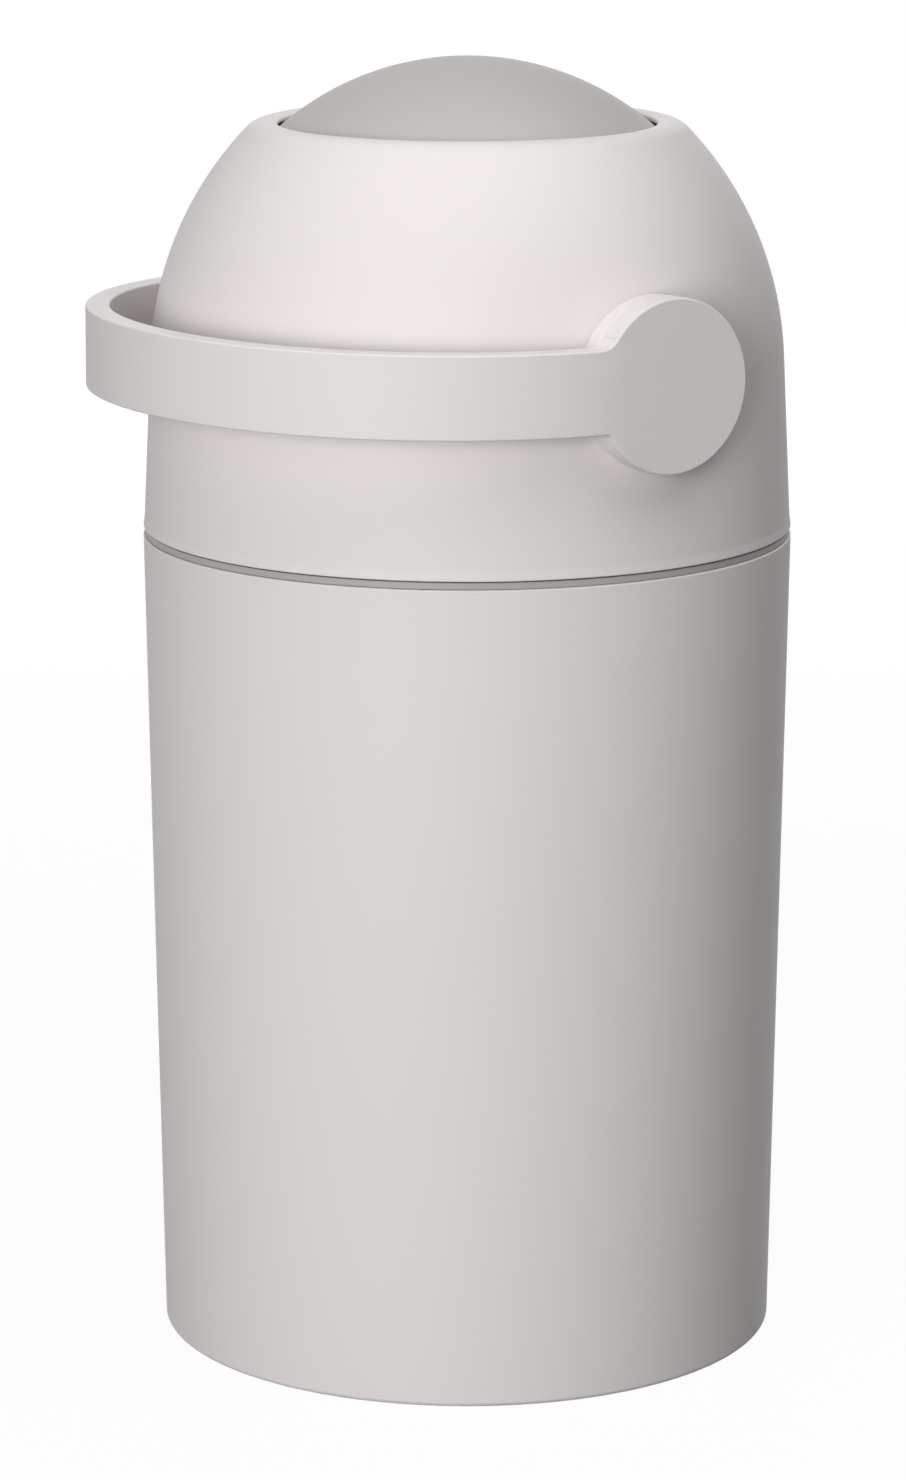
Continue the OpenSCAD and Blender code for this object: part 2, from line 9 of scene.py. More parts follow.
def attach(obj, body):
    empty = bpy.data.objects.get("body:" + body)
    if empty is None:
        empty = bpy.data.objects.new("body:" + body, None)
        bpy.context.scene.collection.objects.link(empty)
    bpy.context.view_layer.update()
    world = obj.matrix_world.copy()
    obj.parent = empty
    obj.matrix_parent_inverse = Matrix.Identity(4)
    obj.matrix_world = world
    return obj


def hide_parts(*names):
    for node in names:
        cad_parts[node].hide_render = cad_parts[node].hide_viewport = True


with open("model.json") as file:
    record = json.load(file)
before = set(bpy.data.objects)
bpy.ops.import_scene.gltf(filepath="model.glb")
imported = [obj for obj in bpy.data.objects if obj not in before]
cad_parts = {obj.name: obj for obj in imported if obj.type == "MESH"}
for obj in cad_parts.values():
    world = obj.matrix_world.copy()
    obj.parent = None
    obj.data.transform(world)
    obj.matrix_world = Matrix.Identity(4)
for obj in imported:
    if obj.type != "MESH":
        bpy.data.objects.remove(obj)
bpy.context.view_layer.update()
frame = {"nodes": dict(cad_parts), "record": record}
print("stage: frame loaded")

mm = 0.001  # sizes are in millimetres, Blender's units are metres
axleZ = 428.402  # height of the handle's axle, as the CAD model has it
sameSpot = 0.004  # vertices closer than this are one vertex


def trace(bm, stops, fine=8.0):
    # walks from stop to stop in the XZ plane; a stop's third number rounds its corner
    points = [Vector((s[0], s[1])) for s in stops]
    radii = [s[2] if len(s) > 2 else 0 for s in stops]
    last = bm.verts.new((points[0].x, 0, points[0].y))
    for i in range(1, len(points)):
        here = points[i]
        if radii[i] == 0:
            last = stepTo(bm, last, here)
            continue
        back = (points[i - 1] - here).normalized()
        onward = (points[i + 1] - here).normalized()
        half = back.angle(onward) / 2
        reachOut = radii[i] / math.tan(half)
        centre = here + (back + onward).normalized() * (radii[i] / math.sin(half))
        last = stepTo(bm, last, here + back * reachOut)
        turn = math.pi - 2 * half
        if back.x * onward.y - back.y * onward.x > 0:
            turn = -turn
        last = arcFrom(bm, last, centre, turn, fine)
    return last


def stepTo(bm, vert, place):
    made = bmesh.ops.extrude_vert_indiv(bm, verts=[vert])["verts"][0]
    made.co = (place.x, 0, place.y)
    return made


def arcFrom(bm, vert, centre, turn, fine=8.0):
    # an arc in the XZ plane, turning from +X towards +Z when turn is positive
    steps = max(3, round(abs(math.degrees(turn)) / fine))
    spun = bmesh.ops.spin(bm, geom=[vert], cent=(centre.x, 0, centre.y), axis=(0, -1, 0),
                          angle=turn, steps=steps)
    return [g for g in spun["geom_last"] if isinstance(g, bmesh.types.BMVert)][0]


def turned(bm, steps=192):
    # a full turn about Z, with the seam and the poles closed
    bmesh.ops.spin(bm, geom=bm.verts[:] + bm.edges[:], cent=(0, 0, 0), axis=(0, 0, 1),
                   angle=2 * math.pi, steps=steps, use_merge=True)
    bmesh.ops.remove_doubles(bm, verts=bm.verts[:], dist=sameSpot)
    bmesh.ops.dissolve_degenerate(bm, dist=0.001, edges=bm.edges[:])
    bmesh.ops.recalc_face_normals(bm, faces=bm.faces[:])


def ring(stops, steps=192, fine=8.0):
    bm = bmesh.new()
    trace(bm, stops, fine)
    turned(bm, steps)
    return bm


def asDisc(bm, x, side=1):
    # lays a shape that was turned about Z over the axle, with its +Z pointing outwards
    bmesh.ops.rotate(bm, verts=bm.verts[:], cent=(0, 0, 0),
                     matrix=Matrix.Rotation(side * math.pi / 2, 3, "Y"))
    bmesh.ops.translate(bm, verts=bm.verts[:], vec=(side * x, 0, axleZ))
    return bm


def merged(parts):
    # several closed shapes in one piece
    whole = bmesh.new()
    for part in parts:
        mesh = bpy.data.meshes.new("part")
        part.to_mesh(mesh)
        part.free()
        whole.from_mesh(mesh)
        bpy.data.meshes.remove(mesh)
    return whole


def piece(name, bm, finish, body, nodes, crease=32):
    # edges that turn by more than crease degrees stay sharp
    bmesh.ops.scale(bm, verts=bm.verts[:], vec=(mm, mm, mm))
    for face in bm.faces:
        face.smooth = True
    for edge in bm.edges:
        edge.smooth = len(edge.link_faces) != 2 or edge.calc_face_angle() < math.radians(crease)
    mesh = bpy.data.meshes.new(name)
    bm.to_mesh(mesh)
    bm.free()
    mesh.materials.append(finish)
    made = bpy.data.objects.new(name, mesh)
    bpy.context.scene.collection.objects.link(made)
    even = made.modifiers.new("evenNormals", "WEIGHTED_NORMAL")
    even.mode, even.weight, even.keep_sharp = "FACE_AREA", 60, True
    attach(made, body)
    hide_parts(*nodes)
    return made


class Wire:
    # a socket that does sums
    def __init__(self, kit, socket):
        self.kit, self.socket = kit, socket

    def sum(self, operation, other, flip=False):
        pair = (other, self) if flip else (self, other)
        return self.kit.node("ShaderNodeMath", {"operation": operation}, {0: pair[0], 1: pair[1]})

    def __add__(self, other):
        return self.sum("ADD", other)

    def __radd__(self, other):
        return self.sum("ADD", other, True)

    def __sub__(self, other):
        return self.sum("SUBTRACT", other)

    def __rsub__(self, other):
        return self.sum("SUBTRACT", other, True)

    def __mul__(self, other):
        return self.sum("MULTIPLY", other)

    def __rmul__(self, other):
        return self.sum("MULTIPLY", other, True)

    def most(self, other):
        return self.sum("MAXIMUM", other)


class Finish:
    # a material, or the world, as a tree of nodes
    def __init__(self, owner, shader="ShaderNodeBsdfPrincipled", end="ShaderNodeOutputMaterial"):
        self.material = owner
        owner.use_nodes = True
        self.tree = owner.node_tree
        self.tree.nodes.clear()
        self.shader = self.tree.nodes.new(shader)
        self.node(end, None, {"Surface": Wire(self, self.shader.outputs[0])}, output=None)
        self.place = self.node("ShaderNodeTexCoord", output="Object")

    def node(self, kind, settings=None, values=None, output=0):
        made = self.tree.nodes.new(kind)
        for key, value in (settings or {}).items():
            if key == "stops":
                ramp = made.color_ramp
                for index, (at, tone) in enumerate(value):
                    stop = ramp.elements[index] if index < 2 else ramp.elements.new(at)
                    stop.position, stop.color = at, (tone, tone, tone, 1)
            else:
                setattr(made, key, value)
        for key, value in (values or {}).items():
            self.feed(made.inputs[key], value)
        return None if output is None else Wire(self, made.outputs[output])

    def feed(self, socket, value):
        if isinstance(value, Wire):
            self.tree.links.new(value.socket, socket)
        else:
            socket.default_value = value

    def noise(self, scale, detail=2.0, rough=0.5):
        return self.node("ShaderNodeTexNoise", None,
                         {"Vector": self.place, "Scale": scale, "Detail": detail, "Roughness": rough})

    def bump(self, height):
        return self.node("ShaderNodeBump", None, {"Strength": 1.0, "Distance": 1.0, "Height": height})

    def ramp(self, value, stops):
        return self.node("ShaderNodeValToRGB", {"stops": stops}, {0: value})

    def straight(self):
        # rays that see a plain white room: the camera's, and those of gloss and glass
        rays = [self.node("ShaderNodeLightPath", output=name)
                for name in ("Is Camera Ray", "Is Glossy Ray", "Is Transmission Ray")]
        return rays[0].most(rays[1]).most(rays[2])

    def blend(self, mask, low, high):
        return self.node("ShaderNodeMix", {"data_type": "RGBA"},
                         {"Factor": mask, 6: low, 7: high}, output=2)

    def set(self, **values):
        for key, value in values.items():
            self.feed(self.shader.inputs[key.replace("_", " ")], value)


def tone(red, green, blue):
    # screen values from 0 to 255 to the linear values that shaders take
    return tuple(((c / 255 + 0.055) / 1.055) ** 2.4 for c in (red, green, blue)) + (1,)


def shade(colour, by):
    return tuple(min(1, c * by) for c in colour[:3]) + (1,)


moulding = {"flowScale": 38.0, "flowDepth": 0.00006, "cloudDepth": 0.00015,  # depths in metres
            "speckScale": 900.0, "speckShare": 0.05, "speckShade": 0.8,
            "markScale": 14.0, "markRamp": [(0.5, 0), (0.78, 1)],
            "grainRough": 0.05, "markRough": 0.07, "cloudRough": 0.03, "ior": 1.5}


def mouldedPlastic(name, look, s):
    # satin moulded plastic: fine spark grain, a faint flow pattern and soft handling marks
    made = Finish(bpy.data.materials.new(name))
    colour = tone(*look["colour"])
    cloud = made.noise(look["cloudScale"], 3, 0.55)
    flow = made.noise(s["flowScale"])
    grain = made.noise(look["grainScale"], 2, 0.6)
    speck = made.noise(s["speckScale"], 1)
    marks = made.ramp(made.noise(s["markScale"], 5, 0.62), s["markRamp"])
    spread = look["spread"]
    body = made.blend(cloud, shade(colour, 1 - spread), shade(colour, 1 + spread))
    body = made.blend(speck * s["speckShare"], body, shade(colour, s["speckShade"]))
    rough = look["roughness"] + s["grainRough"] * (grain - 0.5) + s["markRough"] * marks
    height = grain * look["grainDepth"] + flow * s["flowDepth"] + cloud * s["cloudDepth"]
    made.set(Base_Color=body, Roughness=rough + s["cloudRough"] * (cloud - 0.5),
             Normal=made.bump(height), IOR=s["ior"], Specular_IOR_Level=look["gloss"])
    return made.material


# colours are written as a screen shows them
plastics = {
    "shell": {"colour": (227, 222, 221), "roughness": 0.5, "gloss": 0.17, "spread": 0.012,
              "cloudScale": 7.0, "grainScale": 1500.0, "grainDepth": 0.000012},
    "ball": {"colour": (182, 178, 176), "roughness": 0.48, "gloss": 0.24, "spread": 0.012,
             "cloudScale": 9.0, "grainScale": 1500.0, "grainDepth": 0.000010},
    "band": {"colour": (174, 171, 169), "roughness": 0.5, "gloss": 0.3, "spread": 0.015,
             "cloudScale": 11.0, "grainScale": 1300.0, "grainDepth": 0.000012},
    "inner": {"colour": (205, 203, 200), "roughness": 0.55, "gloss": 0.38, "spread": 0.02,
              "cloudScale": 10.0, "grainScale": 1100.0, "grainDepth": 0.000016},
}


def softRubber(name, look):
    made = Finish(bpy.data.materials.new(name))
    colour = tone(*look["colour"])
    bloom = made.noise(look["bloomScale"], 4, 0.6)
    grain = made.noise(look["grainScale"], 2, 0.6)
    made.set(Base_Color=made.blend(bloom, colour, shade(colour, look["bloomShade"])),
             Roughness=look["roughness"] + look["bloomRough"] * (bloom - 0.5),
             Normal=made.bump(grain * look["grainDepth"]))
    return made.material


def platedSteel(name, look):
    made = Finish(bpy.data.materials.new(name))
    colour = tone(*look["colour"])
    patch = made.noise(look["patchScale"], 4, 0.6)
    drawn = made.node("ShaderNodeMapping", None, {"Vector": made.place, "Scale": look["scratchStretch"]})
    scratch = made.node("ShaderNodeTexNoise", None, {"Vector": drawn, "Scale": 3.0, "Detail": 3.0})
    low, high = (shade(colour, by) for by in look["patchShades"])
    made.set(Base_Color=made.blend(patch, low, high), Metallic=1.0,
             Roughness=look["roughness"] + look["scratchRough"] * (scratch - 0.5),
             Normal=made.bump(scratch * look["scratchDepth"]))
    return made.material


rubberLook = {"colour": (52, 52, 53), "roughness": 0.62, "bloomScale": 45.0, "bloomShade": 1.7,
              "bloomRough": 0.12, "grainScale": 2100.0, "grainDepth": 0.00002}
steelLook = {"colour": (150, 151, 154), "roughness": 0.36, "patchScale": 120.0, "patchShades": (0.86, 1.08),
             "scratchStretch": (60, 900, 900), "scratchRough": 0.16, "scratchDepth": 0.00002}

finishes = {key: mouldedPlastic(key + "Plastic", look, moulding) for key, look in plastics.items()}
finishes["seal"] = softRubber("sealRubber", rubberLook)
finishes["steel"] = platedSteel("screwSteel", steelLook)
print("stage: finishes made")

slotOf = {row["node"]: row["material_slot"] for row in frame["record"]["subparts"]}
for nodeName, nodeObject in frame["nodes"].items():
    nodeObject.data.materials.clear()
    nodeObject.data.materials.append(finishes[slotOf[nodeName]])


nappyBin = {"height": 348.2, "footR": 132.2, "topR": 138.0, "wall": 2.8, "floorUp": 6.0, "floor": 3.0,
            "footRound": 2.2, "topRound": 0.7, "topRoundIn": 0.5, "innerRound": 8.0, "recessTop": 2.0,
            "recessLow": 1.2, "ribs": 8, "ribWidth": 2.0, "ribLow": 1.5, "ribRound": 0.5, "ringR": 21.0}


def makeBin(s):
    high, inside, floor = s["height"], s["footR"] - s["wall"], s["floorUp"] + s["floor"]
    stops = [(0, s["floorUp"]), (inside - s["recessTop"], s["floorUp"], 1.2),
             (inside - s["recessLow"], 0, 0.8), (s["footR"], 0, s["footRound"]),
             (s["topR"], high, s["topRound"]), (s["topR"] - s["wall"], high, s["topRoundIn"]),
             (inside + 0.15, floor, s["innerRound"]), (0, floor)]
    return merged([ring(stops, 256, 6)] + makeRibs(s, inside))


def makeRibs(s, inside):
    # ribs under the floor, from a small ring in the middle to the foot
    first, last, deep, soft = s["ringR"] - 1, inside - 1, s["floorUp"] - 1, s["ribRound"]
    ribs = []
    for index in range(s["ribs"]):
        bm = bmesh.new()
        bmesh.ops.create_cube(bm, size=1)
        bmesh.ops.scale(bm, verts=bm.verts[:], vec=(last - first, s["ribWidth"], deep))
        bmesh.ops.translate(bm, verts=bm.verts[:], vec=((last + first) / 2, 0, s["ribLow"] + deep / 2))
        bmesh.ops.bevel(bm, geom=bm.edges[:], offset=soft, segments=2, profile=0.5,
                        affect="EDGES", material=-1)
        bmesh.ops.rotate(bm, verts=bm.verts[:], cent=(0, 0, 0),
                         matrix=Matrix.Rotation(2 * math.pi * index / s["ribs"], 3, "Z"))
        ribs.append(bm)
    out, inn, low, top = s["ringR"], s["ringR"] - s["ribWidth"], s["ribLow"], s["floorUp"] + 1
    ribs.append(ring([(inn, top), (inn, low, soft), (out, low, soft), (out, top), (inn, top)], 96))
    return ribs


piece("binBody", makeBin(nappyBin), finishes["shell"], "bin", ["bin_shell"])


bagRing = {"low": 348.3, "top": 351.4, "outer": 137.2, "shelf": 128.235, "edge": 0.6,
           "skirtLow": 332.3, "skirt": 134.435, "skirtWall": 2.2, "leadIn": 0.8, "leadInUp": 2.0,
           "slotIn": 2.2, "slotDeep": 0.25}


def makeBagRing(s):
    inside = s["skirt"] - s["skirtWall"]
    # the rebate on top leaves the thin dark slot under the head
    rebate = {"r": s["outer"] - s["slotIn"], "z": s["top"] - s["slotDeep"]}
    stops = [(inside - 0.2, s["low"]), (s["shelf"], s["low"], s["edge"]), (s["shelf"], s["top"], s["edge"]),
             (rebate["r"], s["top"], 0.1), (rebate["r"], rebate["z"], 0.1),
             (s["outer"], rebate["z"], 0.25), (s["outer"], s["low"], s["edge"]),
             (s["skirt"], s["low"], 0.4), (s["skirt"], s["skirtLow"] + s["leadInUp"], 0.6),
             (s["skirt"] - s["leadIn"], s["skirtLow"], 0.4), (inside, s["skirtLow"], 0.6),
             (inside, s["low"], 0.2), (inside - 0.2, s["low"])]
    return ring(stops, 256)


piece("bagRing", makeBagRing(bagRing), finishes["band"], "ring", ["bag_ring"])
print("stage: bin and bag ring made")


head = {"low": 351.7, "lowR": 137.6, "sideHeight": 72.8, "draft": 2.66, "crownOff": 12.1,
        "crownEnd": 44.1, "shoulderR": 11.0, "rimWidth": 4.1, "rimDip": 10.0, "wall": 2.4, "lip": 0.4,
        "lipHeight": 4.0, "lipBlend": 6.0, "padR": 35.6, "padX": 136.184, "seatR": 24.0,
        "seatX": 126.678, "seatDeep": 3.2, "bore": 14.98}


def crownStops(s, inset):
    # corners of the outside drawn in by inset: side line, crown arc, shoulder arc, sloping rim
    draft, end, dip = (math.radians(s[key]) for key in ("draft", "crownEnd", "rimDip"))
    sideR = s["lowR"] - s["sideHeight"] * math.tan(draft)
    crownR = (sideR + s["crownOff"]) / math.cos(draft)
    centre = Vector((-s["crownOff"], s["low"] + s["sideHeight"] - crownR * math.sin(draft)))
    shoulder = centre + (crownR - s["shoulderR"]) * Vector((math.cos(end), math.sin(end)))
    radius = crownR - inset
    half = (end - draft) / 2
    middle = (end + draft) / 2
    corner = centre + radius / math.cos(half) * Vector((math.cos(middle), math.sin(middle)))
    small = s["shoulderR"] - inset
    middle = (end + math.pi / 2 + dip) / 2
    half = (math.pi / 2 + dip - end) / 2
    upper = shoulder + small / math.cos(half) * Vector((math.cos(middle), math.sin(middle)))
    rimX = shoulder.x - s["rimWidth"]
    rimZ = shoulder.y + small / math.cos(dip) - s["rimWidth"] * math.tan(dip)
    side = centre + radius * Vector((math.cos(draft), math.sin(draft)))
    foot = side.x + (side.y - s["low"]) * math.tan(draft)
    return {"foot": foot, "corner": (corner.x, corner.y, radius), "upper": (upper.x, upper.y, small),
            "rim": Vector((rimX, rimZ)), "slope": math.tan(draft)}


def makeHead(s):
    out, inn = crownStops(s, 0), crownStops(s, s["wall"])
    nose, dip = s["wall"] / 2, math.radians(s["rimDip"])
    middle = crownStops(s, nose)["rim"]
    inwards = nose * Vector((-math.cos(dip), -math.sin(dip)))
    upwards = nose * Vector((-math.sin(dip), math.cos(dip)))
    over, under = middle + inwards + upwards, middle + inwards - upwards
    rimRound = nose - 0.02  # a little under half the wall, so that both roundings fit
    stops = [(inn["foot"], s["low"] + 1), (inn["foot"], s["low"], 0.3),
             (s["lowR"] + s["lip"], s["low"], 0.5),
             (out["foot"] - s["lipHeight"] * out["slope"], s["low"] + s["lipHeight"], s["lipBlend"]),
             out["corner"], out["upper"],
             (over.x, over.y, rimRound), (under.x, under.y, rimRound),
             inn["upper"], inn["corner"], (inn["foot"] - inn["slope"], s["low"] + 1)]
    # round pads under the handle's ends, with the seats for the bushes inside
    bore, face, deep = s["bore"], s["padX"] - s["seatX"], s["seatDeep"]
    pad = [(bore, 0), (bore, face, 0.3), (s["padR"], face, 0.6), (s["padR"], deep), (s["seatR"], deep),
           (s["seatR"], 0, 0.6), (bore, 0)]
    return merged([ring(stops, 288, 2.0)] +
                  [asDisc(ring(pad, 128), s["seatX"], side) for side in (1, -1)])


piece("headCover", makeHead(head), finishes["shell"], "head", ["head_shell"])


ballR = 120.978
# the collar and the seals follow the ball; they reach over elevations in degrees, seen from the axle
neck = {"plateLow": 352.6, "plate": 2.6, "plateR": 134.9, "neckR": 127.635, "neckWall": 2.2,
        "neckLow": 336.0, "leadIn": 1.0, "leadInUp": 3.0,
        "collarIn": 1.0, "collarOut": 3.2, "from": -48.4, "to": -26.5}


def onBall(radius, degrees):
    a = math.radians(degrees)
    return Vector((radius * math.cos(a), axleZ + radius * math.sin(a)))


def shellBand(inner, outer, low, high, steps=192):
    # band that follows the ball between two radii and two elevations
    bm = bmesh.new()
    start = onBall(outer, low)
    first = bm.verts.new((start.x, 0, start.y))
    last = arcFrom(bm, first, Vector((0, axleZ)), math.radians(high - low), 2)
    last = stepTo(bm, last, onBall(inner, high))
    last = arcFrom(bm, last, Vector((0, axleZ)), math.radians(low - high), 2)
    stepTo(bm, last, start)
    turned(bm, steps)
    return bm


def makeNeck(s):
    low, high = s["plateLow"], s["plateLow"] + s["plate"]
    inner = s["neckR"] - s["neckWall"]
    collarOut = ballR + s["collarOut"]
    plateIn = math.sqrt(collarOut ** 2 - (axleZ - high) ** 2) - 0.6
    stops = [(plateIn, low), (inner, low, 1.0), (inner, s["neckLow"], 0.5),
             (s["neckR"] - s["leadIn"], s["neckLow"], 0.4),
             (s["neckR"], s["neckLow"] + s["leadInUp"], 1.0), (s["neckR"], low, 0.5),
             (s["plateR"], low, 0.3), (s["plateR"], high, 0.3), (plateIn, high), (plateIn, low)]
    return merged([ring(stops, 224), shellBand(ballR + s["collarIn"], collarOut, s["from"], s["to"], 224)])


piece("neckPlate", makeNeck(neck), finishes["inner"], "head", ["head_plate"])


gasket = {"low": 351.5, "high": 352.6, "inner": 128.7, "outer": 134.4, "round": 0.3}


def makeGasket(s):
    low, high, inn, out, soft = s["low"], s["high"], s["inner"], s["outer"], s["round"]
    start = (inn + 2.3, low)
    return ring([start, (out, low, soft), (out, high, soft), (inn, high, soft), (inn, low, soft), start], 224)


piece("neckGasket", makeGasket(gasket), finishes["seal"], "head", ["neck_gasket"])


# each band: clearance from the ball inside and outside, lower and upper elevation
rimSeal = {"base": (4.3, 6.6, 36.4, 44.4), "lip": (0.3, 6.4, 42.7, 44.3)}
rimSealRing = {"body": (1.2, 6.5, 33.9, 36.1)}
collarSeal = {"lip": (0.3, 4.6, -51.4, -48.6), "base": (3.25, 4.5, -51.3, -44.0)}


def makeSeal(s):
    return merged([shellBand(ballR + inner, ballR + outer, low, high)
                   for inner, outer, low, high in s.values()])


piece("rimSeal", makeSeal(rimSeal), finishes["seal"], "head", ["rim_seal"])
piece("rimSealRing", makeSeal(rimSealRing), finishes["inner"], "head", ["rim_seal_ring"])
piece("collarSeal", makeSeal(collarSeal), finishes["seal"], "head", ["plate_seal"])
print("stage: head made")


ball = {"wall": 3.0, "split": 0.1, "bossR": 21.05, "bossOut": 122.378, "bossBore": 12.1, "bossDeep": 11.0,
        "mouthR": 69.889, "mouthGap": 0.1, "mouthRound": 0.4, "mouthLow": -98.748, "pocketWall": 2.2,
        "pocketDepth": 158.0, "taper": 5.0, "pocketRound": 14.0, "flange": 2.0, "flangeWide": 12.0}


def makeDome(s):
    inner = ballR - s["wall"]
    bm = bmesh.new()
    first = bm.verts.new((ballR, 0, axleZ))
    last = arcFrom(bm, first, Vector((0, axleZ)), math.pi / 2, 1.5)
    last = stepTo(bm, last, Vector((0, axleZ + inner)))
    last = arcFrom(bm, last, Vector((0, axleZ)), -math.pi / 2, 3)
    stepTo(bm, last, Vector((ballR, axleZ)))
    turned(bm, 256)
    return bm


def halfBoss(s, side, up):
    # the flat-faced boss beside the axle, half of it on each half of the ball
    bm = bmesh.new()
    bore, deep = s["bossBore"], -s["bossDeep"]
    trace(bm, [(bore, deep), (bore, 0, 0.4), (s["bossR"], 0, 0.6), (s["bossR"], deep), (bore, deep)])
    bmesh.ops.spin(bm, geom=bm.verts[:] + bm.edges[:], cent=(0, 0, 0), axis=(0, 0, 1),
                   angle=math.pi, steps=48)
    bmesh.ops.remove_doubles(bm, verts=bm.verts[:], dist=sameSpot)
    bmesh.ops.holes_fill(bm, edges=[e for e in bm.edges if e.is_boundary], sides=0)
    bmesh.ops.recalc_face_normals(bm, faces=bm.faces[:])
    bmesh.ops.rotate(bm, verts=bm.verts[:], cent=(0, 0, 0),
                     matrix=Matrix.Rotation(math.pi / 2 if up else -math.pi / 2, 3, "Z"))
    bmesh.ops.rotate(bm, verts=bm.verts[:], cent=(0, 0, 0), matrix=Matrix.Rotation(math.pi / 2, 3, "Y"))
    bmesh.ops.translate(bm, verts=bm.verts[:], vec=(s["bossOut"], 0, axleZ - (0 if up else s["split"])))
    if side < 0:
        bmesh.ops.scale(bm, verts=bm.verts[:], vec=(-1, 1, 1))
        bmesh.ops.reverse_faces(bm, faces=bm.faces[:])
    return bm


def makeBowl(s):
    inner = ballR - s["wall"]
    edge = s["mouthR"] + s["pocketWall"] + s["mouthGap"]
    low = -math.degrees(math.acos(edge / ballR))
    lowIn = -math.degrees(math.acos(edge / inner))
    bm = bmesh.new()
    start = Vector((ballR, axleZ - s["split"]))
    last = bm.verts.new((start.x, 0, start.y))
    last = arcFrom(bm, last, Vector((0, axleZ)), math.radians(low + 0.4), 2)
    last = stepTo(bm, last, onBall(ballR - s["mouthRound"], low) + Vector((0, 0.1)))
    last = stepTo(bm, last, onBall(inner, lowIn))
    last = arcFrom(bm, last, Vector((0, axleZ)), math.radians(-lowIn), 3)
    stepTo(bm, last, start)
    turned(bm, 256)
    return bm


def makePocket(s):
    r, w = s["mouthR"], s["pocketWall"]
    low = axleZ - w / 2 - math.sqrt((ballR - w / 2) ** 2 - (r + w / 2) ** 2)
    floor = axleZ + s["mouthLow"] + s["pocketDepth"]
    end = r - s["taper"]
    rimRound = w / 2 - 0.05
    stops = [(0, floor), (end, floor, s["pocketRound"]), (r, low, rimRound), (r + w, low, rimRound),
             (end + w, floor + w, s["pocketRound"] + w), (0, floor + w)]
    # the flange lies against the bowl's inside
    outer = ballR - s["wall"] - s["mouthGap"]
    inner = outer - s["flange"]
    flange = shellBand(inner, outer, -math.degrees(math.acos((r + w / 2) / inner)),
                       -math.degrees(math.acos((r + s["flangeWide"]) / outer)), 224)
    return merged([ring(stops, 224, 4), flange])


piece("ballDome", merged([makeDome(ball)] + [halfBoss(ball, side, True) for side in (1, -1)]),
      finishes["ball"], "ball", ["ball_dome"])
piece("ballBowl", merged([makeBowl(ball)] + [halfBoss(ball, side, False) for side in (1, -1)]),
      finishes["ball"], "ball", ["ball_bowl"])
piece("nappyPocket", makePocket(ball), finishes["inner"], "ball", ["nappy_pocket"])
print("stage: ball made")


handle = {"hubR": 35.9, "gripH": 34.4, "gripT": 10.1, "faceX": 147.584, "armL": 22.7, "armQ": 11.7,
          "armR": 135.884, "frontR": 171.108, "sweep": 70.6, "reach": 160.584, "round": 0.9,
          "filletTop": 9.0, "filletLow": 2.0, "hubX": 136.484, "hubRound": 0.4, "overlap": 0.03,
          "rise": 0.5, "station": 3.0}


def filletPlace(s, radius):
    # centre of a fillet between the band's edge and the round end
    z = s["gripH"] / 2 + radius
    x = math.sqrt((s["hubR"] + radius) ** 2 - z ** 2)
    return {"x": x, "z": z, "lean": math.atan2(z, x)}


def onHubBack(edge, s, length):
    # the round end's back edge stays sharp, because the disc behind it carries on from there
    middle = (edge.verts[0].co + edge.verts[1].co) / 2
    middle.x = min(middle.x, length - middle.x)
    return middle.y > s["gripT"] - 0.1 and math.hypot(middle.x, middle.z) < s["hubR"] + 0.02


